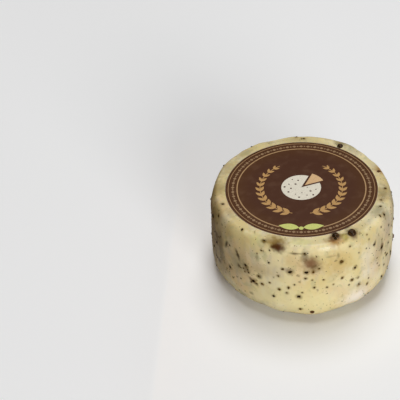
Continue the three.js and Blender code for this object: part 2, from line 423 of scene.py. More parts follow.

# %% The list of stains, painted shade and painted light
STAINS_AND_SHADING = [  # azimuth, down, half width, half height, colour, strength, lean in degrees
    # broad clouds; the first twelve are painted shade, on the left and round the far rim
    (-70, 4, 9, 8, SHADE_KHAKI, 0.38),
    (-88, 0, 8, 7, SHADE_KHAKI, 0.35),
    (-60, -2, 7, 4, SHADE_KHAKI, 0.4),
    (-61, 26, 6, 13, SHADE_UMBER, 0.55),
    (-114, -2, 12, 6, SHADE_KHAKI, 0.45),
    (-134, -3, 11, 5, SHADE_KHAKI, 0.3),
    (180, -3, 13, 4, OCHRE, 0.35),
    (140, -2, 8, 5, SHADE_KHAKI, 0.25),
    (79, -3, 7, 6, SHADE_KHAKI, 0.3),
    (-84, 30, 26, 34, OCHRE, 0.22),
    (-72, 27, 8, 20, OCHRE, 0.3),
    (-58, 40, 9, 12, SHADE_KHAKI, 0.4),
    (-31, 2, 5, 7, LEMON, 0.5),
    (-42, 28, 10, 12, SAGE, 0.55),
    (-26, 24, 8, 7, HUSK, 0.5),
    (-16, 22, 7, 8, LILAC, 0.3),
    (22, 18, 12, 14, TAN, 0.75),
    (-5, 12, 8, 9, TAN, 0.5),
    # partly painted light: butter clouds that make the foot lighter
    (8, 44, 24, 11, BUTTER_AND_FOOT_LIGHT, 0.6),
    # partly pale cheese, partly a painted highlight: a lemon band just under the label at the front
    (0, -2, 10, 4, LEMON, 0.6),
    (64, -1, 8, 9, SAGE, 0.5),
    (53, 24, 7, 20, LILAC, 0.35),
    (42, 26, 6, 14, CHALK, 0.35),
    (43, 4, 8, 8, SAGE, 0.15),
    (34, 51, 14, 8, CHALK, 0.85),
    (50, 46, 8, 7, CHALK, 0.25),
    # partly painted light: more butter clouds at the foot
    (-19, 46, 11, 8, BUTTER_AND_FOOT_LIGHT, 0.55),
    (6, 52, 26, 13, BUTTER_AND_FOOT_LIGHT, 0.5),
    (-10, 38, 26, 12, BUTTER_AND_FOOT_LIGHT, 0.45),
    (47, 36, 8, 8, CHALK, 0.35),
    (66, 12, 9, 16, LILAC, 0.5),
    # painted shade, darker at the right rim, the right edge and the left rim
    (84, -3, 10, 6, SHADE_KHAKI, 0.4),
    (88, 8, 12, 16, SHADE_KHAKI, 0.4),
    (-92, 2, 12, 10, SHADE_KHAKI, 0.4),
    (118, 34, 14, 12, TAN, 0.5),
    (150, 12, 12, 10, LEMON, 0.4),
    (-160, 40, 16, 12, SAGE, 0.4),
    (-128, 20, 12, 16, TAN, 0.5),
    (180, 26, 14, 10, LILAC, 0.35),
    # pepper that bleeds into the fat
    (-16.5, -0.3, 9, 7, OCHRE, 0.95),
    (-15, 1.4, 7, 5, RESIN, 0.55),
    (-13.8, 3.6, 5.6, 4.2, BROWN, 1),
    (-16.5, 3.6, 2.8, 2.4, BROWN, 0.8),
    (6, 13.5, 9, 10, OCHRE, 0.4),
    (5.8, 13.4, 6.2, 6.4, PLUM, 0.95),
    (8.5, 17, 5, 4, OLIVE, 0.45),
    (2, 7.5, 2.8, 5, OLIVE, 0.6),
    (22.5, -0.8, 8, 5.4, ORANGE, 1),
    (20.5, -2.5, 3.4, 3, BROWN, 0.6),
    (24, -4, 4.4, 4.4, BROWN, 1),
    (34.5, -1.1, 5.2, 5.2, BROWN, 1),
    (28.7, -0.5, 2.8, 4, MOSS, 0.95),
    (28.7, 1.4, 2.4, 1, OLIVE, 0.4),
    (-24, 1.5, 3, 2.2, OLIVE, 0.85),
    # painted shade: dark lines along the crease below the front shoulder
    (-3, 6.2, 6.5, 0.8, OLIVE, 0.6),
    (-4.5, 6.4, 2.4, 0.9, BARK, 0.7),
    # painted shade along a second, shorter crease
    (17.5, 9.9, 4, 0.8, OLIVE, 0.4),
    (-53, 19.2, 1.7, 4.6, BARK, 0.95, -26),
    (-42.5, 20.7, 1.8, 5.6, BARK, 0.95, 24),
    (-41.5, 29.7, 2, 2.2, BARK, 0.9),
    (-35.5, 28.2, 4.2, 4.6, OLIVE, 0.5),
    (-27.5, 14.7, 1.6, 3.2, OLIVE, 0.5),
    (-26, 30.2, 2.8, 2.4, BARK, 0.8),
    (-30.5, 36.7, 1.7, 5.4, BROWN, 0.9, 60),
    (-32, 48.2, 2.2, 1.6, OLIVE, 0.6),
    (-66.5, 23.2, 3, 5, BROWN, 0.6),
    (-63.5, 41.7, 3.6, 2, BROWN, 0.6),
    (49, 14.9, 1.5, 3, BARK, 0.85, -20),
    (57, 23.2, 1.5, 7.6, BARK, 0.7),
    (56.5, 23.4, 2.4, 2.6, BROWN, 0.75),
    (57.5, 50.2, 3, 2.2, OLIVE, 0.6),
    (22, 10.4, 1.2, 2.6, OLIVE, 0.5),
    (24, 16.4, 1.9, 1.9, OLIVE, 0.6),
    (31, 34, 2.2, 2, OLIVE, 0.6),
    (24.5, 29.7, 1.8, 1.6, OLIVE, 0.5),
    (35.5, 34.7, 2, 1.7, OLIVE, 0.45),
    (43, 45, 1.9, 1.7, OLIVE, 0.45),
    (-8, 19, 4.6, 2.6, LILAC, 0.6),
    (-82, 9, 5, 4, PLUM, 0.7),
    (128, 22, 6, 5, PLUM, 0.75),
    (-150, 14, 6, 5, OCHRE, 0.7),
    (-150, 14, 3.6, 2.8, BROWN, 0.9),
    (110, 1, 6, 4.5, ORANGE, 0.7),
    (150, -1, 6, 3.5, OLIVE, 0.6),
    (141, -1, 5, 3, SAGE, 0.35),
    (-168, 13, 6.5, 5, OCHRE, 0.7),
    (-101, 27, 6, 6, OCHRE, 0.55),
    (171, 41, 6, 5, ORANGE, 0.5),
    (84, 38, 5, 5, OCHRE, 0.45),
    (-137, 50, 5, 4, BROWN, 0.4),
]
print(len(STAINS_AND_SHADING), "stains placed by hand")

# %% Small stains and halos
SCATTERED_STAINS = 60
SCATTERED_COLOURS = (OLIVE, OLIVE, OLIVE, OLIVE, PLUM, OCHRE, BROWN)
STAIN_DOWNS = (2, 70)
STAIN_WIDTHS = (0.9, 2.4)
STAIN_STRETCH = (0.8, 1.9)  # height as a share of width
STAIN_STRENGTHS = (0.3, 0.75)
PLACED_FROM, PLACED_TO = -64, 70  # between these azimuths every stain is in the list
HALO_STRENGTH = 0.75


def scattered_stains(seed):
    draw = random.Random(seed)
    stains = []
    while len(stains) < SCATTERED_STAINS:
        azimuth, down = draw.uniform(-180, 180), draw.uniform(*STAIN_DOWNS)
        width = draw.uniform(*STAIN_WIDTHS)
        height = width * draw.uniform(*STAIN_STRETCH)
        strength = draw.uniform(*STAIN_STRENGTHS)
        if not PLACED_FROM < azimuth < PLACED_TO:
            colour = draw.choice(SCATTERED_COLOURS)
            stains.append((azimuth, down, width, height, colour, strength))
    return stains


def halo(spot):
    """A little resin in the fat round a bit."""
    azimuth, down, size = spot[:3]
    return (azimuth, down, size, size, RESIN, HALO_STRENGTH)


# the list's painted shade and painted light go in with the stains
stains = STAINS_AND_SHADING + scattered_stains(seed=11) + [halo(spot) for spot in bits + small_bits]
print(len(stains), "stains")

# %% [markdown]
# ## The wheel
#
# A wheel like this could be a lathe with a displacement texture, but its skin has to follow
# the solid's exactly, so its vertices are worked out: a fine grid of rows down the skin and
# steps round the wheel, closed by a fan at the top, under the label, and by rings into the
# middle of the base. Finer relief is added on the way: soft ripples, small pits, a little
# collar of cheese that creeps up round each corn, and the short creases where the shoulder
# sagged over the wall.

# %% Ripples and collars
RIPPLE = 0.045  # height of the ripples in the waxy skin
RIPPLE_LENGTH = 5.5
PIT_DEPTH = 0.12
PIT_SPACING = 1.7
PIT_LEVEL = 0.52  # there is a pit only where the noise is above this
PIT_SHIFT = Vector((7, 3, 5))  # so that the pits don't follow the ripples
CORN_COLLAR = (0.55, 0.32)  # reach as a share of the corn's size, and height
BIT_COLLAR = (0.7, 0.07)


def ripples(points):
    """Small irregular relief, in millimetres, for points in millimetres."""
    height = np.empty(len(points))
    for i, point in enumerate(points):
        place = Vector(point)
        broad = noise.fractal(place / RIPPLE_LENGTH, 0.9, 2.1, 3)
        pits = noise.noise(place / PIT_SPACING + PIT_SHIFT)
        height[i] = RIPPLE * broad - PIT_DEPTH * max(0, pits - PIT_LEVEL)
    return height


def collars(azimuth, down, radius):
    """The cheese rises where it clings to a corn, and just lifts over a flush bit."""
    height = np.zeros(len(azimuth))
    lifts = [(spot, *CORN_COLLAR) for spot in WHOLE_CORNS]
    lifts += [(spot, *BIT_COLLAR) for spot in bits]
    for spot, reach_share, lift in lifts:
        reach = spot[2] * reach_share
        away = np.hypot(across_skin(azimuth, spot[0], radius), down - spot[1]) / reach
        height += lift * np.exp(-(away**4))
    return height


print("ripples of", RIPPLE, "mm, collars of up to", CORN_COLLAR[1], "mm")

# %% Creases
CREASES = [  # azimuth, down, half length, depth
    (-4, 6, 8, 0.22),
    (17.5, 9.9, 5, 0.14),
    (-38, 5, 5, 0.1),
    (70, 7, 6, 0.12),
    (-95, 12, 7, 0.14),
    (126, 9, 7, 0.14),
    (-165, 8, 8, 0.16),
]
CREASE_HALF_WIDTH = 0.6
CREASE_WANDER, CREASE_BEND = 0.5, 1.9  # how far a crease strays from level, and how slowly


def creases(azimuth, down, radius):
    """Where the shoulder sagged over the wall while it was soft, the skin folded a little."""
    height = np.zeros(len(azimuth))
    for centre, centre_down, half_length, depth in CREASES:
        aside = across_skin(azimuth, centre, radius)
        line = centre_down + CREASE_WANDER * np.sin(aside / CREASE_BEND)
        ends = 1 - smoothstep(np.abs(aside), half_length / 2, half_length)
        height -= depth * ends * np.exp(-(((down - line) / CREASE_HALF_WIDTH) ** 2))
    return height


print(len(CREASES), "creases")

# %% Painting the stains, painted shade and painted light
FRAY_LENGTH, FRAY = 2.2, 0.22  # size of the ragged edge's lobes, and how far they reach
STAIN_CORE, STAIN_EDGE = 0.15, 1.2  # shares of its size where a stain starts to fade and ends


def paint_stains_and_shading(points, azimuth, down, radius):
    """Lays the stains, with the painted shade and light among them, over each other and returns
    colour and amount for each point.
    """
    ragged = [noise.fractal(Vector(point) / FRAY_LENGTH, 0.8, 2.0, 2) for point in points]
    ragged = np.array(ragged)
    paint = np.zeros((len(points), 4))
    for centre, centre_down, width, height, colour, strength, *lean in stains:
        turn = math.radians(lean[0]) if lean else 0
        aside, below = across_skin(azimuth, centre, radius), down - centre_down
        across = aside * math.cos(turn) - below * math.sin(turn)
        along = aside * math.sin(turn) + below * math.cos(turn)
        away = np.hypot(across / width, along / height) + FRAY * ragged
        amount = strength * (1 - smoothstep(away, STAIN_CORE, STAIN_EDGE))
        whole = amount + paint[:, 3] * (1 - amount)
        share = np.divide(amount, whole, out=np.zeros_like(whole), where=whole > 0)
        paint[:, :3] += (np.array(colour[:3]) - paint[:, :3]) * share[:, None]
        paint[:, 3] = whole
    return paint


print("a stain's ragged edge strays by", FRAY, "of its size")

# %% Making objects
STORED_AS = {"FLOAT": "value", "FLOAT_VECTOR": "vector", "FLOAT_COLOR": "color"}


def new_object(name, data):
    thing = bpy.data.objects.new(name, data)
    bpy.context.scene.collection.objects.link(thing)
    return thing


def add_mesh(name, vertices, faces, smooth=True):
    """A new object from vertices in millimetres, placed in its mesh."""
    mesh = bpy.data.meshes.new(name)
    mesh.from_pydata(np.asarray(vertices) * MM, [], faces)
    mesh.validate()
    mesh.polygons.foreach_set("use_smooth", [smooth] * len(mesh.polygons))
    return new_object(name, mesh)


def store(piece, name, values, kind="FLOAT"):
    """Keeps a value for each vertex in an attribute, for trees and materials to read."""
    layer = piece.data.attributes.new(name, kind, "POINT")
    layer.data.foreach_set(STORED_AS[kind], np.ravel(values))


print("attributes can be", ", ".join(STORED_AS))

# %% The grid of the skin
AROUND = 600
ROWS = 138
SEAT_OVERLAP = 2.5  # the grid starts this far under the label
SEAT_MARGIN = 2.5  # the fine relief is whole this far out from the seat
BASE_MARGIN = (0.1, 3)  # between these heights it fades out towards the base
turns = np.arange(AROUND) / AROUND * 2 * math.pi
downs = np.linspace(-RIM_WIDTH - SEAT_OVERLAP, SKIN_END, ROWS + 1)
azimuths, rows = (grid.ravel() for grid in np.meshgrid(turns, downs))
skin_points, skin_normals = on_skin(azimuths, rows)
skin_radius = np.hypot(skin_points[:, 0], skin_points[:, 1])
off_seat = smoothstep(rows, -RIM_WIDTH, -RIM_WIDTH + SEAT_MARGIN)
off_base = smoothstep(skin_points[:, 2], *BASE_MARGIN)
fine = ripples(skin_points) + collars(azimuths, rows, skin_radius)
fine += creases(azimuths, rows, skin_radius)
fine *= off_seat
skin_points += skin_normals * (fine * off_base)[:, None]
stain_and_shading_paint = paint_stains_and_shading(skin_points, azimuths, rows, skin_radius)
print(len(skin_points), "points of skin")
print("fine relief from", round(fine.min(), 2), "to", round(fine.max(), 2), "mm")

# %% Closing the wheel
BASE_RINGS = 8


def ring_faces(rows, around):
    """Quads between rows of points, each row one turn round the wheel."""
    start = np.arange(rows - 1)[:, None] * around + np.arange(around)
    beside = np.arange(rows - 1)[:, None] * around + (np.arange(around) + 1) % around
    quads = np.stack([start, start + around, beside + around, beside], axis=-1)
    return quads.reshape(-1, 4).tolist()


base_edge = skin_points[-AROUND:]
base_rings = [base_edge * (1 - ring / BASE_RINGS) for ring in range(1, BASE_RINGS)]
wheel_points = np.concatenate([skin_points, *base_rings, [[0, 0, WHEEL_HEIGHT], [0, 0, 0]]])
all_rows = ROWS + 1 + len(base_rings)
top_centre, base_centre = len(wheel_points) - 2, len(wheel_points) - 1
last_row = (all_rows - 1) * AROUND
faces = ring_faces(all_rows, AROUND)
faces += [[top_centre, i, (i + 1) % AROUND] for i in range(AROUND)]
faces += [[base_centre, last_row + (i + 1) % AROUND, last_row + i] for i in range(AROUND)]
cheese_skin = add_mesh("cheese_skin", wheel_points, faces)

closing_points = len(wheel_points) - len(skin_points)
all_paint = np.concatenate([stain_and_shading_paint, np.zeros((closing_points, 4))])
store(cheese_skin, "stain", all_paint, "FLOAT_COLOR")
store(cheese_skin, "open", np.concatenate([off_seat * off_base, np.zeros(closing_points)]))
print("cheese_skin:", len(cheese_skin.data.polygons), "faces")

# %% [markdown]
# ## A short way to write nodes
#
# Materials and Geometry Nodes are both trees of nodes. Clicking them together is easy, but in
# a script each node takes many lines. Two small classes shorten that. A Wire is a node's
# output that ordinary arithmetic works on, so that 1 - mask adds the Math node itself. A Tree
# has one method that adds any other node: its settings first, then what its sockets get. Its
# other methods are short names for the nodes that this object's finishes use again and again.


# %% Wires
def math_method(operation, swapped=False):
    """A method that adds this Math node to the tree of the wire it is called on."""
    def act(wire, other):
        terms = (other, wire) if swapped else (wire, other)
        return wire.tree.math(operation, *terms)

    return act


class Wire:
    """A node's output. Arithmetic on it adds Math nodes to its tree."""

    def __init__(self, tree, socket):
        self.tree = tree
        self.socket = socket

    def also(self, name):
        """Another output of the same node."""
        return Wire(self.tree, self.socket.node.outputs[name])

    __add__ = __radd__ = math_method("ADD")
    __sub__ = math_method("SUBTRACT")
    __rsub__ = math_method("SUBTRACT", swapped=True)
    __mul__ = __rmul__ = math_method("MULTIPLY")
    __truediv__ = math_method("DIVIDE")
    __rtruediv__ = math_method("DIVIDE", swapped=True)
    __gt__ = math_method("GREATER_THAN")
    __lt__ = math_method("LESS_THAN")


print("wires can be added, subtracted, multiplied, divided and compared")


# %% Trees
class Tree:
    """A node tree that nodes are added to by kind, settings and inputs."""

    def __init__(self, node_tree):
        self.node_tree = node_tree

    def node(self, kind, settings=None, inputs=None, out=0):
        node = self.node_tree.nodes.new(kind)
        for name, value in (settings or {}).items():
            if name == "stops":
                self.set_stops(node.color_ramp, value)
            else:
                setattr(node, name, value)
        for name, value in (inputs or {}).items():
            if isinstance(value, Wire):
                self.node_tree.links.new(value.socket, node.inputs[name])
            else:
                node.inputs[name].default_value = value
        return Wire(self, node.outputs[out]) if node.outputs else node

    def set_stops(self, ramp, stops):
        while len(ramp.elements) < len(stops):
            ramp.elements.new(0.5)
        for element, (position, colour) in zip(ramp.elements, stops):
            element.position = position
            element.color = colour

    def math(self, operation, *terms):
        return self.node("ShaderNodeMath", {"operation": operation}, dict(enumerate(terms)))

    def vector_math(self, operation, *terms, out=0):
        settings = {"operation": operation}
        return self.node("ShaderNodeVectorMath", settings, dict(enumerate(terms)), out)

    def smooth(self, value, start, end):
        """0 below start, 1 above end, and a soft step between them."""
        inputs = {"Value": value, "From Min": start, "From Max": end}
        return self.node("ShaderNodeMapRange", {"interpolation_type": "SMOOTHSTEP"}, inputs)

    def mix(self, share, first, second):
        inputs = {0: share, 6: first, 7: second}
        return self.node("ShaderNodeMix", {"data_type": "RGBA"}, inputs, out=2)

    def noise(self, place, size, distortion=0.0):
        """Cloudy values round 0.5, their clouds about this many millimetres apart."""
        inputs = {"Vector": place, "Scale": 1 / (size * MM), "Distortion": distortion}
        return self.node("ShaderNodeTexNoise", None, inputs)

    def clouds(self, place, size, start, end, distortion=0.0):
        """Soft patches of that noise: 0 where it is below start, 1 where it is above end."""
        return self.smooth(self.noise(place, size, distortion), start, end)

    def net(self, place, width):
        """Distance to the nearest edge of a net whose holes are this wide, in metres."""
        inputs = {"Vector": place, "Scale": 1 / width}
        return self.node("ShaderNodeTexVoronoi", {"feature": "DISTANCE_TO_EDGE"}, inputs)

    def place(self):
        """A shaded point's place in its object, in metres."""
        return self.node("ShaderNodeTexCoord", out="Object")

    def stored(self, name, out="Fac"):
        """What the mesh's attribute of this name holds at the shaded point."""
        return self.node("ShaderNodeAttribute", {"attribute_name": name}, out=out)

    def bump(self, height, distance, strength=1.0):
        """Bends the surface by a height, of which 1 stands for this many millimetres."""
        inputs = {"Height": height, "Distance": distance * MM, "Strength": strength}
        return self.node("ShaderNodeBump", None, inputs)

    def surface(self, inputs):
        """The shader that every finish here ends in."""
        return self.node("ShaderNodeBsdfPrincipled", None, inputs)


print("a tree knows:", ", ".join(name for name in vars(Tree) if not name.startswith("_")))

# %% [markdown]
# ## Trees that grow pieces
#
# Pepper repeats hundreds of times, so Geometry Nodes make it. Each tree has named inputs for
# its sizes, its seed and its material. A small function runs a tree on an object: it sets the
# inputs by their sockets' identifiers, takes the finished mesh, and takes the modifier away
# again.

# %% Growth trees
FULL_TURN = 6.28  # radians
SOCKETS = {
    float: "NodeSocketFloat",
    int: "NodeSocketInt",
    bpy.types.Material: "NodeSocketMaterial",
    bpy.types.Object: "NodeSocketObject",
}


class GrowthTree(Tree):
    """A Geometry Nodes tree with named inputs, given as names and kinds, and a material."""

    def __init__(self, name, inputs):
        super().__init__(bpy.data.node_groups.new(name, "GeometryNodeTree"))
        face = self.node_tree.interface
        face.new_socket("Geometry", in_out="INPUT", socket_type="NodeSocketGeometry")
        face.new_socket("Geometry", in_out="OUTPUT", socket_type="NodeSocketGeometry")
        for label, kind in {**inputs, "Material": bpy.types.Material}.items():
            face.new_socket(label, in_out="INPUT", socket_type=SOCKETS[kind])
        self.start = self.node("NodeGroupInput")

    def given(self, name):
        return self.start.also(name)

    def named(self, name, kind="FLOAT"):
        return self.node("GeometryNodeInputNamedAttribute", {"data_type": kind}, {"Name": name})

    def chance(self, low, high, seed_step=0):
        inputs = {2: low, 3: high, "Seed": self.given("Seed") + seed_step}
        return self.node("FunctionNodeRandomValue", {"data_type": "FLOAT"}, inputs, out=1)

    def vector(self, x, y, z):
        return self.node("ShaderNodeCombineXYZ", None, {0: x, 1: y, 2: z})

    def any_vector(self, low, high):
        inputs = {0: (low,) * 3, 1: (high,) * 3, "Seed": self.given("Seed")}
        return self.node("FunctionNodeRandomValue", {"data_type": "FLOAT_VECTOR"}, inputs)

    def scaled(self, vector, factor):
        inputs = {0: vector, "Scale": factor}
        return self.node("ShaderNodeVectorMath", {"operation": "SCALE"}, inputs)

    def turned(self, outward):
        """A rotation whose Z axis points outward, spun at random about it."""
        return self.spun(self.node("FunctionNodeAlignRotationToVector", None, {"Vector": outward}))

    def spun(self, rotation):
        angle = self.vector(0.0, 0.0, self.chance(0, FULL_TURN, 3))
        inputs = {"Rotation": rotation, "Rotate By": angle}
        return self.node("FunctionNodeRotateRotation", {"rotation_space": "LOCAL"}, inputs)

    def sunk(self, points, thickness):
        """Moves points along their way out until the asked share of a thing stands out."""
        depth = self.named("size") * (self.named("proud") - thickness * 0.5)
        offset = self.scaled(self.named("outward", "FLOAT_VECTOR"), depth)
        return self.node("GeometryNodeSetPosition", None, {"Geometry": points, "Offset": offset})

    def ball(self, fineness):
        """A faceted ball one unit across."""
        inputs = {"Radius": 0.5, "Subdivisions": fineness}
        return self.node("GeometryNodeMeshIcoSphere", None, inputs)

    def set_out(self, points, thing, rotation, scale):
        """A copy of the thing on each point."""
        inputs = {"Points": points, "Instance": thing, "Rotation": rotation, "Scale": scale}
        return self.node("GeometryNodeInstanceOnPoints", None, inputs)

    def toned(self, instances):
        """Stores a random tone on each instance, for its material."""
        settings = {"data_type": "FLOAT", "domain": "INSTANCE"}
        inputs = {"Geometry": instances, "Name": "tone", "Value": self.chance(0, 1, 4)}
        return self.node("GeometryNodeStoreNamedAttribute", settings, inputs)

    def finish(self, instances, reshape=None, smooth=True):
        """Realizes the instances, reshapes them if asked, and gives them their material."""
        real = self.node("GeometryNodeRealizeInstances", None, {"Geometry": instances})
        if reshape is not None:
            inputs = {"Geometry": real, "Offset": reshape}
            real = self.node("GeometryNodeSetPosition", None, inputs)
        inputs = {"Geometry": real, "Shade Smooth": smooth}
        real = self.node("GeometryNodeSetShadeSmooth", None, inputs)
        inputs = {"Geometry": real, "Material": self.given("Material")}
        real = self.node("GeometryNodeSetMaterial", None, inputs)
        self.node("NodeGroupOutput", None, {"Geometry": real})
        return self.node_tree


print("a growth tree's inputs can be of", len(SOCKETS), "kinds")


# %% Running a tree
def grow(piece, tree, values):
    """Runs a tree on a piece and leaves the result as the piece's plain mesh."""
    modifier = piece.modifiers.new("growth", "NODES")
    modifier.node_group = tree
    for item in tree.interface.items_tree:
        if item.in_out == "INPUT" and item.name in values:
            modifier[item.identifier] = values[item.name]
    depsgraph = bpy.context.evaluated_depsgraph_get()
    grown = bpy.data.meshes.new_from_object(piece.evaluated_get(depsgraph), depsgraph=depsgraph)
    piece.modifiers.remove(modifier)
    piece.data = grown
    grown.name = piece.name
    print(piece.name + ":", len(grown.polygons), "faces")
    return piece


# %% Spots to grow on
GRAIN_GROWTH = 1.12  # a sunk bit shows less than its width, so it is made this much larger


def spot_cloud(name, spots):
    """Points on the skin for a tree to grow on, from azimuth, down, size, share out, tone."""
    azimuth, down, size, proud, tone = np.array(spots, dtype=float).T
    points, normals = on_skin(np.radians(azimuth), down)
    piece = add_mesh(name, points, [])
    for label, values in {"size": size * MM, "proud": proud, "tone": tone}.items():
        store(piece, label, values)
    store(piece, "outward", normals, "FLOAT_VECTOR")
    return piece


def grains(spots, proud, seed):
    """Spots for the chip tree, each with the tone that it was given or else any tone."""
    draw = random.Random(seed)
    rows = []
    for azimuth, down, size, *tone in spots:
        tone = tone[0] if tone else draw.random()
        rows.append((azimuth, down, size * GRAIN_GROWTH, proud, tone))
    return rows


print("a bit's ball is", GRAIN_GROWTH, "times as wide as the bit")

# %% [markdown]
# ## Whole peppercorns
#
# A dried peppercorn is a ball whose skin has shrunk into a net of sharp ridges with hollows
# between them. A Voronoi texture's distance to the nearest cell edge draws just such a net,
# so the tree sets a fine ball at each point, turns it at random, and pushes each hollow in.


# %% The corn tree
def corn_tree():
    sizes = {"Fineness": int, "Hollow depth": float, "Hollow width": float, "Seed": int}
    tree = GrowthTree("peppercorns", sizes)
    size = tree.named("size")
    shape = tree.vector(size, size * tree.chance(0.94, 1, 1), size * tree.chance(0.94, 1, 2))
    ball = tree.ball(tree.given("Fineness"))
    corns = tree.set_out(tree.sunk(tree.start, 1), ball, tree.any_vector(0, 6), shape)
    place = tree.node("GeometryNodeInputPosition")
    hollow = tree.smooth(tree.net(place, tree.given("Hollow width")), 0.02, 0.3)
    soft = tree.noise(place, 0.9) * 0.6
    push = tree.given("Hollow depth") * (0.6 - hollow - soft)
    return tree.finish(corns, tree.scaled(tree.node("GeometryNodeInputNormal"), push))


peppercorns = corn_tree()
print("peppercorns:", len(peppercorns.nodes), "nodes")

# %% [markdown]
# ## Broken pepper
#
# A cracked bit is an angular crumb, flatter than it is wide, and it lies in the skin with
# its flat way out, most of it below the surface. The tree starts from a ball of few facets,
# squashes it, turns it to the skin's own direction and moves each corner at random. Facets
# stay flat, so that the bits look broken. Each bit keeps its spot's tone, for the material
# to pick its colour by.


# %% The chip tree
def chip_tree():
    sizes = {"Facets": int, "Raggedness": float, "Thinnest": float, "Seed": int}
    tree = GrowthTree("pepper_chips", sizes)
    size = tree.named("size")
    turn = tree.turned(tree.named("outward", "FLOAT_VECTOR"))
    flat = tree.chance(tree.given("Thinnest"), 0.9, 2)
    shape = tree.vector(size, size * tree.chance(0.7, 1, 1), size * flat)
    crumb = tree.ball(tree.given("Facets"))
    chips = tree.set_out(tree.sunk(tree.start, flat), crumb, turn, shape)
    reshape = tree.scaled(tree.any_vector(-1, 1), size * tree.given("Raggedness"))
    return tree.finish(chips, reshape, smooth=False)


pepper_chips = chip_tree()
print("pepper_chips:", len(pepper_chips.nodes), "nodes")

# %% [markdown]
# ## Pepper dust
#
# Milling leaves flakes under a millimetre, far too many to place. Distribute Points on Faces
# scatters them over the open skin, which the grid marked with an attribute, and a noise
# makes them crowd in some places and thin out in others, as they do in kneaded curd. A
# random number cubed is mostly small, so that most flakes are fine and few are coarse.

# %% The dust tree
SQUARE_CM = 1e-4  # in square metres


def dust_tree():
    sizes = {"Flakes per square cm": float, "Smallest": float, "Largest": float, "Seed": int}
    tree = GrowthTree("pepper_dust", sizes)
    crowd = tree.clouds(tree.node("GeometryNodeInputPosition"), 16, 0.38, 0.62)
    density = tree.given("Flakes per square cm") / SQUARE_CM * tree.named("open")
    inputs = {"Mesh": tree.start, "Density": density * (crowd + 0.25), "Seed": tree.given("Seed")}
    points = tree.node("GeometryNodeDistributePointsOnFaces", None, inputs)
    rare = tree.chance(0, 1, 1)
    smallest = tree.given("Smallest")
    size = smallest + (tree.given("Largest") - smallest) * rare * rare * rare
    shape = tree.vector(size, size * tree.chance(0.4, 1, 2), size * 0.4)
    flakes = tree.set_out(points, tree.ball(1), tree.spun(points.also("Rotation")), shape)
    return tree.finish(tree.toned(flakes), smooth=False)


pepper_flakes = dust_tree()
print("pepper_dust:", len(pepper_flakes.nodes), "nodes")

# %% [markdown]
# ## What pepper looks like
#
# Dried pepper is nearly black, with brown where the ridges are rubbed and grey where fat has
# dulled it. Where a corn hardly stands out, fat has closed over it and veils it in brown. A
# film of fat gives all pepper a faint warm shine. Broken bits show the corn's pale inside:
# the tone that each bit stored picks its colour from a ramp, and a noise breaks up the
# colour within a bit.

# %% Pepper colours
PEPPER_BLACK = linear(30, 17, 4)
PEPPER_OLIVE = linear(84, 62, 20)
PEPPER_BROWN = linear(96, 64, 28)
PEPPER_GREY = linear(84, 72, 46)
PEPPER_INSIDE = linear(160, 132, 78)
CORN_DARK = linear(32, 18, 4)
CORN_VEILED = linear(104, 66, 30)
NEARLY_CLOSED = 0.33  # the fat has closed over a corn of which less than this stands out
VEIL = 0.55
WARM_SHINE = (1, 0.7, 0.4, 1)
CORN_NET = 1.05  # width of the hollows between a corn's ridges
BIT_TONES = [  # where each colour stands on the ramp of tones
    (0, PEPPER_BLACK),
    (0.55, PEPPER_BLACK),
    (0.76, PEPPER_OLIVE),
    (0.86, PEPPER_BROWN),
    (0.95, PEPPER_GREY),
    (1, PEPPER_INSIDE),
]
print(len(BIT_TONES), "tones of broken pepper")


# %% Pepper materials
def finish_material(name, tree_of):
    """A material whose shader is what the given function returns for its tree."""
    material = bpy.data.materials.new(name)
    material.use_nodes = True
    material.node_tree.nodes.clear()
    tree = Tree(material.node_tree)
    tree.node("ShaderNodeOutputMaterial", None, {"Surface": tree_of(tree)})
    print(name + ":", len(tree.node_tree.nodes), "nodes")
    return material


def corn_shader(tree):
    place = tree.place()
    ridge = 1 - tree.smooth(tree.net(place, CORN_NET * MM), 0.02, 0.16)
    rubbed = ridge * tree.clouds(place, 1.6, 0.42, 0.62)
    colour = tree.mix(rubbed * 0.85, CORN_DARK, PEPPER_BROWN)
    colour = tree.mix(tree.clouds(place, 4, 0.5, 0.75) * 0.15, colour, PEPPER_GREY)
    colour = tree.mix((tree.stored("proud") < NEARLY_CLOSED) * VEIL, colour, CORN_VEILED)
    return tree.surface({
        "Base Color": colour,
        "Roughness": 0.42 - ridge * 0.14,
        "Specular IOR Level": 0.25,
        "Specular Tint": WARM_SHINE,
        "Coat Weight": 0.2,
        "Coat Roughness": 0.2,
        "Coat Tint": WARM_SHINE,
        "Normal": tree.bump(tree.noise(place, 0.25), 0.04),
    })


def chip_shader(tree):
    colour = tree.node("ShaderNodeValToRGB", {"stops": BIT_TONES}, {"Fac": tree.stored("tone")})
    dulled = tree.clouds(tree.place(), 0.7, 0.5, 0.8) * 0.2
    return tree.surface({
        "Base Color": tree.mix(dulled, colour, PEPPER_GREY),
        "Roughness": 0.6,
        "Specular IOR Level": 0.15,
        "Specular Tint": WARM_SHINE,
    })


corn_skin = finish_material("peppercorn skin", corn_shader)
broken_pepper = finish_material("broken pepper", chip_shader)

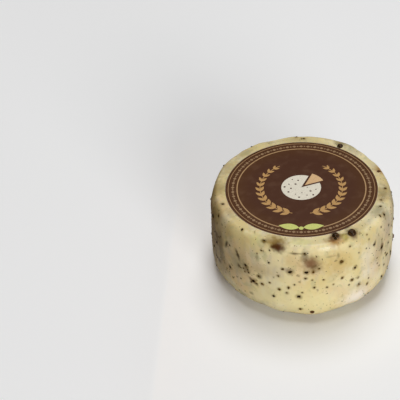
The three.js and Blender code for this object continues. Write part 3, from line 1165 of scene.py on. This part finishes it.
# %% Growing the pepper
corn_sizes = {"Fineness": 5, "Hollow depth": 0.26 * MM, "Hollow width": CORN_NET * MM}
whole_corns = grow(
    spot_cloud("whole_peppercorns", [(*corn, 0) for corn in WHOLE_CORNS]),
    peppercorns,
    {**corn_sizes, "Seed": 3, "Material": corn_skin},
)
cracked_pepper = grow(
    spot_cloud("cracked_pepper", grains(bits, BIT_PROUD, seed=6)),
    pepper_chips,
    {"Facets": 2, "Raggedness": 0.1, "Thinnest": 0.6, "Seed": 5, "Material": broken_pepper},
)
pepper_specks = grow(
    spot_cloud("pepper_specks", grains(small_bits, SPECK_PROUD, seed=9)),
    pepper_chips,
    {"Facets": 1, "Raggedness": 0.16, "Thinnest": 0.5, "Seed": 8, "Material": broken_pepper},
)
dust_sizes = {"Flakes per square cm": 5.5, "Smallest": 0.3 * MM, "Largest": 0.95 * MM}
pepper_dust = grow(
    new_object("pepper_dust", cheese_skin.data.copy()),
    pepper_flakes,
    {**dust_sizes, "Seed": 2, "Material": broken_pepper},
)

# %% [markdown]
# ## The cheese
#
# Young cheese is pale straw, never one flat colour: milky patches, warmer ones where the fat
# lies near the skin, and faint green-grey clouds of pepper. Light goes a little way in, so
# it gets subsurface scattering, and its skin is waxy, with a soft shine that small ripples
# break up. Stains come from the painted attribute, with the painted shade and painted light
# that lie among them, and fine specks deeper in the curd come from a Voronoi texture that
# keeps only some of its cells.

# %% Cheese colours
CREAM = linear(231, 216, 167)
STRAW = linear(222, 202, 142)
MILK = linear(236, 228, 198)
ROSY = linear(222, 192, 150)
MOSSY = linear(190, 184, 138)
HAZE = linear(196, 182, 158)
SPECK = linear(102, 82, 40)
PATCHES = [  # colour, size, where a patch starts and is whole, distortion, share, flow
    (STRAW, 26, 0.36, 0.64, 0, 1, 1),
    (MILK, 12, 0.5, 0.7, 0.4, 0.45, 1),
    (ROSY, 30, 0.52, 0.66, 0, 0.5, 1),
    (HAZE, 5, 0.5, 0.72, 0, 0.4, 0.3),  # a flow under 1 draws the patches out down the wall
    (MOSSY, 8, 0.54, 0.7, 0.5, 0.5, 1),
]
DEEP_SPECKS = [(5.5, 0.26, 0.5), (2.4, 0.22, 0.6)]  # spacing, radius in cells, how dark
KEPT_CELLS = 0.25
print(len(PATCHES), "kinds of patches over cream")


# %% Cheese material
def kept_specks(tree, place, spacing, radius):
    """1 inside soft specks, in the share of the texture's cells that is kept."""
    inputs = {"Vector": place, "Scale": 2 / (spacing * MM)}
    wobble = tree.node("ShaderNodeTexNoise", None, inputs, out="Color")
    bent = tree.vector_math("MULTIPLY_ADD", wobble, (spacing * MM * 0.8,) * 3, place)
    inputs = {"Vector": bent, "Scale": 1 / (spacing * MM)}
    cells = tree.node("ShaderNodeTexVoronoi", None, inputs)
    lottery = tree.node("ShaderNodeSeparateColor", None, {"Color": cells.also("Color")})
    near = 1 - tree.smooth(cells, radius * 0.45, radius)
    return near * (lottery < KEPT_CELLS)


def cheese_shader(tree):
    place = tree.place()
    colour = CREAM
    for patch, size, start, end, distortion, share, flow in PATCHES:
        spot = place if flow == 1 else tree.vector_math("MULTIPLY", place, (1, 1, flow))
        cloud = tree.clouds(spot, size, start, end, distortion)
        colour = tree.mix(cloud * share, colour, patch)
    # the painted attribute carries the stains and also painted shade and painted light
    stain = tree.stored("stain", out="Color")
    colour = tree.mix(stain.also("Alpha"), colour, stain)
    for spacing, radius, darkness in DEEP_SPECKS:
        colour = tree.mix(kept_specks(tree, place, spacing, radius) * darkness, colour, SPECK)
    pores = tree.noise(place, 1.3) + tree.noise(place, 0.45) * 0.35
    waxed = tree.clouds(place, 8, 0.5, 0.64, 0.6) * (1 - stain.also("Alpha"))
    return tree.surface({
        "Base Color": colour,
        "Roughness": 0.34 + tree.noise(place, 3.2) * 0.22,
        "Normal": tree.bump(pores, 0.05, 0.6),
        "Specular IOR Level": 0.28,
        "Subsurface Weight": 0.2,
        "Subsurface Radius": (1, 0.6, 0.3),
        "Subsurface Scale": 2 * MM,
        "Coat Weight": 0.03 + waxed * 0.3,
        "Coat Roughness": 0.16,
    })


cheese_skin.data.materials.append(finish_material("young cheese", cheese_shader))

# %% [markdown]
# ## The label's paper
#
# The label is a disc of coated paper, printed dark brown nearly to its edge. Seen close it
# is not a flat colour: the ink lies thinner in places, the fibres show as a fine grain, and
# the paper follows the cheese below, which bends its shine. Its cut edge shows the white
# of the paper. The disc itself is already right, so it only gets a better material.

# %% Paper material
PRINT_BROWN = linear(74, 40, 22)
PRINT_RING = linear(80, 46, 19)
PAPER = linear(222, 208, 182)
THIN_INK = linear(140, 108, 84)
BORDER_FROM, BORDER_TO = 30, 43  # the print turns warmer between these radii
CUT_EDGE = 0.12  # width of bare paper that shows at the rim


def paper_surface(tree, place):
    """The bend and the grain that the paper and the ink on it share."""
    return tree.bump(tree.noise(place, 14) * 5 + tree.noise(place, 0.5) * 0.4, 0.05, 0.8)


def paper_shader(tree):
    place = tree.place()
    flat = tree.vector_math("MULTIPLY", place, (1, 1, 0))
    radius = tree.vector_math("LENGTH", flat, out="Value")
    border = tree.smooth(radius, BORDER_FROM * MM, BORDER_TO * MM)
    colour = tree.mix(border, PRINT_BROWN, PRINT_RING)
    worn = tree.clouds(place, 7, 0.45, 0.8) * 0.12
    colour = tree.mix(worn + tree.noise(place, 0.35) * 0.08, colour, THIN_INK)
    cut = radius > (LABEL_RADIUS - CUT_EDGE) * MM
    return tree.surface({
        "Base Color": tree.mix(cut, colour, PAPER),
        "Roughness": 0.36 + tree.noise(place, 5) * 0.1,
        "Specular IOR Level": 0.16,
        "Normal": paper_surface(tree, place),
    })


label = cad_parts["label"]
label.data.materials.clear()
label.data.materials.append(finish_material("printed paper", paper_shader))

# %% [markdown]
# ## The print
#
# The print is flat shapes of ink, each a closed prism a few hundredths of a millimetre high,
# so that it stays sharp however close one looks. Two tops at the same height would fight for
# the same place, so a shape that crosses others is printed a little thicker. The design is a
# plain one that any cheese could carry: two ring lines with a border of lozenges and dots
# between them, a wheel of cheese with a wedge drawn out, two sprigs round it and a pair of
# leaves at the foot.

# %% Inks
INK_HEIGHT = 0.04
OVERPRINT = 1.5 * INK_HEIGHT
GOLD_PRINT = linear(196, 150, 86)
LINE_PRINT = linear(184, 146, 98)
BORDER_PRINT = linear(152, 120, 82)
PALE_PRINT = linear(238, 230, 210)
BUTTER_PRINT = linear(226, 184, 132)
GREEN_PRINT = linear(212, 216, 118)


def ink(name, colour):
    def shader(tree):
        place = tree.place()
        thin = tree.clouds(place, 0.6, 0.4, 0.8) * 0.22
        return tree.surface({
            "Base Color": tree.mix(thin, colour, PRINT_BROWN),
            "Roughness": 0.45,
            "Normal": paper_surface(tree, place),
        })

    return finish_material(name, shader)


line_ink = ink("tan ink", LINE_PRINT)
border_ink = ink("dull tan ink", BORDER_PRINT)
gold_ink = ink("gold ink", GOLD_PRINT)
pale_ink = ink("pale ink", PALE_PRINT)
butter_ink = ink("butter ink", BUTTER_PRINT)
brown_ink = ink("brown ink", PRINT_BROWN)
green_ink = ink("green ink", GREEN_PRINT)


# %% Outlines
def arc(radius, start, end, steps, centre=(0, 0)):
    angles = np.radians(np.linspace(start, end, steps))
    return [(centre[0] + radius * math.cos(a), centre[1] + radius * math.sin(a)) for a in angles]


def ring_outline(inner, outer, start, end, steps):
    return arc(outer, start, end, steps) + arc(inner, end, start, steps)


def lozenge(length, width):
    return [(-length / 2, 0), (0, -width / 2), (length / 2, 0), (0, width / 2)]


def dot(radius, centre=(0, 0), steps=14):
    return arc(radius, 0, 360, steps + 1, centre)[:-1]


def leaf_outline(length, width, steps=9):
    """A pointed leaf along +X, widest a little before its middle."""
    share = np.linspace(0, 1, steps)
    side = width / 2 * np.sin(math.pi * share**0.85) ** 0.9
    upper = list(zip(share * length, side))
    lower = list(zip(share * length, -side))
    return lower + upper[-2:0:-1]


leaf = leaf_outline(6.6, 2.7)
print("a leaf has", len(leaf), "corners")


# %% Prisms of ink
def prisms(name, outlines, material=None, base=LABEL_TOP, thickness=INK_HEIGHT):
    """Closed prisms of ink on outlines that run anticlockwise."""
    points, faces = [], []
    for outline in outlines:
        count, first = len(outline), len(points)
        for height in (base, base + thickness):
            points += [(x, y, height) for x, y in outline]
        top = list(range(first + count, first + 2 * count))
        faces += [list(range(first, first + count))[::-1], top]
        for i in range(count):
            j = (i + 1) % count
            faces.append([first + i, first + j, first + count + j, first + count + i])
    piece = add_mesh(name, points, faces, smooth=False)
    if material:
        piece.data.materials.append(material)
    return piece


print("ink stands", INK_HEIGHT, "mm high, and", round(OVERPRINT, 3), "where it crosses ink")

# %% [markdown]
# ## Rows of one motif
#
# Lozenges, dots and leaves all do the same thing: they follow a circle at even steps. One
# tree makes all of them. It takes a motif, sets it round a circle, turns it to face along
# the circle, sways it to either side by turns, and lets a row grow smaller. Every second
# motif lies a hair higher, so that neighbours that touch don't fight either.

# %% The row tree
NEIGHBOUR_LIFT = INK_HEIGHT / 4


def row_tree():
    angles = {"Start": float, "Step": float, "Turn": float, "Sway": float, "Last size": float}
    sizes = {"Motif": bpy.types.Object, "Count": int, "Together": int, "Radius": float}
    tree = GrowthTree("rows_of_print", {**sizes, **angles})
    count = tree.given("Count")
    line = tree.node("GeometryNodeMeshLine", None, {"Count": count})
    index = tree.node("GeometryNodeInputIndex")
    place_in_row = tree.math("FLOOR", index / tree.given("Together"))
    side = tree.math("FLOORED_MODULO", index, 2) * 2 - 1
    angle = tree.given("Start") + tree.given("Step") * place_in_row
    across = tree.math("COSINE", angle) * tree.given("Radius")
    up = tree.math("SINE", angle) * tree.given("Radius")
    place = tree.vector(across, up, (side + 1) * (NEIGHBOUR_LIFT / 2 * MM))
    points = tree.node("GeometryNodeSetPosition", None, {"Geometry": line, "Position": place})
    settings = {"transform_space": "ORIGINAL"}
    inputs = {"Object": tree.given("Motif")}
    motif = tree.node("GeometryNodeObjectInfo", settings, inputs, out="Geometry")
    heading = tree.vector(0.0, 0.0, angle + tree.given("Turn") + tree.given("Sway") * side)
    size = 1 - (1 - tree.given("Last size")) * index / count
    row = tree.set_out(points, motif, heading, tree.vector(size, size, 1.0))
    return tree.finish(row, smooth=False)


rows_of_print = row_tree()
print("rows_of_print:", len(rows_of_print.nodes), "nodes")


# %% A row and the border
def print_row(name, outline, material, count, radius, start=0, step=None, turn=0, more=None):
    """A row of one motif round a circle, in ink. Angles in degrees."""
    motif = prisms("motif", [outline])
    values = {
        "Motif": motif,
        "Count": count,
        "Together": 1,
        "Radius": radius * MM,
        "Start": math.radians(start),
        "Step": math.radians(step or 360 / count),
        "Turn": math.radians(turn),
        "Sway": 0.0,
        "Last size": 1.0,
        "Material": material,
    }
    row = grow(add_mesh(name, [(0, 0, 0)], []), rows_of_print, {**values, **(more or {})})
    bpy.data.objects.remove(motif)
    return row


INNER_LINE = (41.75, 42.5)
OUTER_LINE = (47.8, 48.15)
BORDER_RADIUS = 45
BORDER_REPEATS = 60
HALF_STEP = 180 / BORDER_REPEATS
GAP_HALF = 19  # degrees of the inner line left open for the leaves at the foot
FOOT_ANGLE = -90
line_start, line_end = FOOT_ANGLE + GAP_HALF, FOOT_ANGLE + 360 - GAP_HALF
open_ring = ring_outline(*INNER_LINE, line_start, line_end, steps=160)
inner_line = prisms("print_inner_line", [open_ring], line_ink)
halves = [ring_outline(*OUTER_LINE, start, start + 180, steps=90) for start in (0, 180)]
outer_line = prisms("print_outer_line", halves, line_ink)
border = (border_ink, BORDER_REPEATS, BORDER_RADIUS)
lozenges = print_row("print_lozenges", lozenge(2.9, 2.3), *border, turn=90)
border_dots = print_row("print_dots", dot(0.6, steps=10), *border, start=HALF_STEP)

# %% The sprigs
SPRIG_RADIUS = 27
SPRIG_FOOT = 16  # degrees from the foot where each sprig starts
LEAVES = 24
LEAF_STEP = 11
LEAF_TURN = 90
STEM_SIDES = (SPRIG_RADIUS - 0.25, SPRIG_RADIUS + 0.25)
STEM_BELOW = 4  # degrees of bare stem under the lowest leaves
paired = {"Together": 2, "Sway": math.radians(32), "Last size": 0.6}
stem_sweep = LEAF_STEP * LEAVES / 2
sprigs, stem_rings = [], []
for name, side in (("print_right_sprig", 1), ("print_left_sprig", -1)):
    start, step, turn = FOOT_ANGLE + side * SPRIG_FOOT, side * LEAF_STEP, side * LEAF_TURN
    row = print_row(name, leaf, gold_ink, LEAVES, SPRIG_RADIUS, start, step, turn, paired)
    sprigs.append(row)
    ends = sorted([start - side * STEM_BELOW, start + side * stem_sweep])
    stem_rings.append(ring_outline(*STEM_SIDES, *ends, steps=50))
stems = prisms("print_stems", stem_rings, gold_ink, thickness=OVERPRINT)
print("each stem sweeps", stem_sweep, "degrees")

# %% The emblem
EMBLEM_RADIUS = 13
WEDGE_FROM, WEDGE_TO = 22, 68  # degrees
WEDGE_OUT = 3.4
EMBLEM_CORNS = 19
CORNS_FROM, CORNS_ACROSS = 2.6, 8.6  # the ring of the emblem that the corns fill
CORN_CLEAR = 9  # degrees beside the wedge without corns
CORN_RADII = (0.4, 0.75)
whole_part = [(0, 0), *arc(EMBLEM_RADIUS, WEDGE_TO, WEDGE_FROM + 360, steps=60)]
emblem_wheel = prisms("print_wheel", [whole_part], pale_ink)
wedge_angle = math.radians((WEDGE_FROM + WEDGE_TO) / 2)
wedge_tip = (WEDGE_OUT * math.cos(wedge_angle), WEDGE_OUT * math.sin(wedge_angle))
wedge = [wedge_tip, *arc(EMBLEM_RADIUS, WEDGE_FROM, WEDGE_TO, steps=16, centre=wedge_tip)]
emblem_wedge = prisms("print_wedge", [wedge], butter_ink)
corn_marks = []
for i in range(EMBLEM_CORNS):
    angle = i * GOLDEN_ANGLE
    reach = CORNS_FROM + CORNS_ACROSS * math.sqrt((i + 0.5) / EMBLEM_CORNS)
    if not WEDGE_FROM - CORN_CLEAR < math.degrees(angle) % 360 < WEDGE_TO + CORN_CLEAR:
        place = (reach * math.cos(angle), reach * math.sin(angle))
        corn_marks.append(dot(between(CORN_RADII, chance(i)), place, steps=9))
emblem_marks = prisms("print_corns", corn_marks, brown_ink, base=LABEL_TOP + INK_HEIGHT)
print(len(corn_marks), "corns printed on the emblem")

# %% The leaves at the foot
FOOT_RADIUS = 40.6
FOOT_ASIDE, FOOT_TURN = 2, 97  # degrees: where each starts beside the foot, and its way
BERRY_RADIUS, BERRY_PLACE = 1.5, (0, -41.2)
foot_leaf = leaf_outline(13, 5.6, steps=15)
foot_leaves = []
for name, side in (("print_green_right", 1), ("print_green_left", -1)):
    start, turn = FOOT_ANGLE + side * FOOT_ASIDE, side * FOOT_TURN
    row = print_row(name, foot_leaf, green_ink, 1, FOOT_RADIUS, start, turn=turn)
    foot_leaves.append(row)
berry = dot(BERRY_RADIUS, BERRY_PLACE, steps=20)
foot_berry = prisms("print_foot_berry", [berry], green_ink, thickness=OVERPRINT)
ink_pieces = [inner_line, outer_line, lozenges, border_dots, *sprigs, stems]
ink_pieces += [emblem_wheel, emblem_wedge, emblem_marks, *foot_leaves, foot_berry]
print(len(ink_pieces), "pieces of print")

# %% [markdown]
# ## Floor, light and camera
#
# A cut-out on white has no place of its own, so the wheel stands on a plain pale floor in
# soft studio light: a low key lamp at the front right, one overhead, and one high behind
# that draws the far rim. The surround gives hardly any light, though the camera sees it
# pale, and the floor too is brighter to the camera than in the light that it throws back,
# and darker still where the skin's shine mirrors it. Otherwise both would lift the shade on
# the left, which a large warm card on that side deepens. The camera and shadows don't see
# the card. The camera looks down at the front from the photograph's height. It is turned a
# little aside, so that the wheel lies right of the middle as it does there, and it stands
# far enough off for the same perspective.

# %% Floor and card
FLOOR_HALF = 8000
FLOOR_SEEN = (0.97, 0.97, 0.97, 1)  # by the camera
FLOOR_LIT = (0.65, 0.65, 0.65, 1)
FLOOR_MIRRORED = (0.3, 0.3, 0.3, 1)  # in the shine of the cheese
CARD_BROWN = linear(104, 78, 46)
CARD_AWAY = 92  # to the left of the wheel's axis
CARD_HALF_WIDTH = 140
CARD_FOOT, CARD_HEIGHT = 1, 100
SQUARE = ((-1, -1), (1, -1), (1, 1), (-1, 1))
floor_corners = [(x * FLOOR_HALF, y * FLOOR_HALF, 0) for x, y in SQUARE]
floor = add_mesh("floor", floor_corners, [(0, 1, 2, 3)], smooth=False)
card_corners = [
    (-CARD_AWAY, y * CARD_HALF_WIDTH, CARD_FOOT if z < 0 else CARD_HEIGHT) for y, z in SQUARE
]
card = add_mesh("shade_card", card_corners, [(0, 1, 2, 3)], smooth=False)
card.visible_camera = False
card.visible_shadow = False


def matt(tree, colour):
    return tree.surface({"Base Color": colour, "Roughness": 0.9, "Specular IOR Level": 0.1})


def floor_shader(tree):
    seen = tree.node("ShaderNodeLightPath", out="Is Camera Ray")
    colour = tree.mix(seen.also("Is Glossy Ray"), FLOOR_LIT, FLOOR_MIRRORED)
    return matt(tree, tree.mix(seen, colour, FLOOR_SEEN))


def card_shader(tree):
    return matt(tree, CARD_BROWN)


floor.data.materials.append(finish_material("floor", floor_shader))
card.data.materials.append(finish_material("warm card", card_shader))
print("floor and card stand")

# %% Lights
LAMP_AWAY = 3  # metres
LAMP_WIDTH = 1.5  # metres
LAMPS = [  # name, azimuth, elevation, watts
    ("key", 25, 14, 63),
    ("over", 0, 88, 27),
    ("back", 172, 68, 34),
]
wheel_middle = Vector((0, 0, WHEEL_HEIGHT / 2 * MM))


def direction(azimuth, elevation):
    """From the wheel towards a place: azimuth from the front, growing to the right."""
    a, e = math.radians(azimuth), math.radians(elevation)
    return Vector((math.sin(a) * math.cos(e), -math.cos(a) * math.cos(e), math.sin(e)))


for name, azimuth, elevation, watts in LAMPS:
    light = bpy.data.lights.new(name, "AREA")
    light.shape = "DISK"
    light.size = LAMP_WIDTH
    light.energy = watts
    lamp = new_object(name, light)
    towards = direction(azimuth, elevation)
    lamp.location = wheel_middle + towards * LAMP_AWAY
    lamp.rotation_mode = "QUATERNION"
    lamp.rotation_quaternion = towards.to_track_quat("Z", "Y")
print(len(LAMPS), "lamps lit")

# %% Surround
SURROUND_LIGHT = 0.04
SURROUND_SEEN = 0.7  # what the camera sees more than that
world = bpy.data.worlds.new("studio")
world.use_nodes = True
surround = Tree(world.node_tree)
seen = surround.node("ShaderNodeLightPath", out="Is Camera Ray")
background = world.node_tree.nodes["Background"]
background.inputs["Color"].default_value = (1, 1, 1, 1)
strength = seen * SURROUND_SEEN + SURROUND_LIGHT
world.node_tree.links.new(strength.socket, background.inputs["Strength"])
bpy.context.scene.world = world
bpy.context.scene.view_settings.view_transform = "Standard"
print("surround:", SURROUND_LIGHT, "as light,", SURROUND_LIGHT + SURROUND_SEEN, "as seen")

# %% Camera
PHOTO_SIDE = 400  # pixels, square
MIDDLE_PIXEL = (301.2, 224.6)  # where the photograph has the wheel's middle
FOCAL_PIXELS = 1183
SENSOR_WIDTH = 36
CAMERA_ELEVATION = 40.4
CAMERA_DISTANCE = 0.8  # metres
camera_data = bpy.data.cameras.new("camera")
camera_data.sensor_width = SENSOR_WIDTH
camera_data.lens = FOCAL_PIXELS * SENSOR_WIDTH / PHOTO_SIDE
camera = new_object("camera", camera_data)
bpy.context.scene.camera = camera
towards_camera = direction(0, CAMERA_ELEVATION)
turn_left = math.atan2(MIDDLE_PIXEL[0] - PHOTO_SIDE / 2, FOCAL_PIXELS)
turn_up = math.atan2(MIDDLE_PIXEL[1] - PHOTO_SIDE / 2, FOCAL_PIXELS)
camera.location = wheel_middle + towards_camera * CAMERA_DISTANCE
camera.rotation_mode = "QUATERNION"
at_wheel = towards_camera.to_track_quat("Z", "Y")
aside = Quaternion((0, 1, 0), turn_left) @ Quaternion((1, 0, 0), turn_up)
camera.rotation_quaternion = at_wheel @ aside
print("lens", round(camera_data.lens, 1), "mm, aside", round(math.degrees(turn_left), 2), "degrees")

# %% [markdown]
# ## Finishing
#
# What stands a hair outside the solids' box is pressed back to it, as the visible wheel may
# not be larger than the solid one. Every piece rides on the one body. The skin, the corns
# and the broken bits together stand for the solid wheel, so that one is hidden.


# %% Riding and finishing
def keep_inside(piece):
    """Presses what stands a hair outside the solids' box back to its face."""
    flat = np.empty(len(piece.data.vertices) * 3)
    piece.data.vertices.foreach_get("co", flat)
    points = flat.reshape(-1, 3)
    inside = np.clip(points, np.array(cad_low), np.array(cad_high))
    moved = np.abs(inside - points).max()
    piece.data.vertices.foreach_set("co", inside.ravel())
    piece.data.update()
    return moved / MM


cheese_pieces = [cheese_skin, whole_corns, cracked_pepper, pepper_specks, pepper_dust]
print("pressed in by, mm:", [round(float(keep_inside(piece)), 2) for piece in cheese_pieces])
for piece in cheese_pieces + ink_pieces:
    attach(piece, "root")
for piece in (cheese_skin, whole_corns, cracked_pepper):
    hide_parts("cheese")
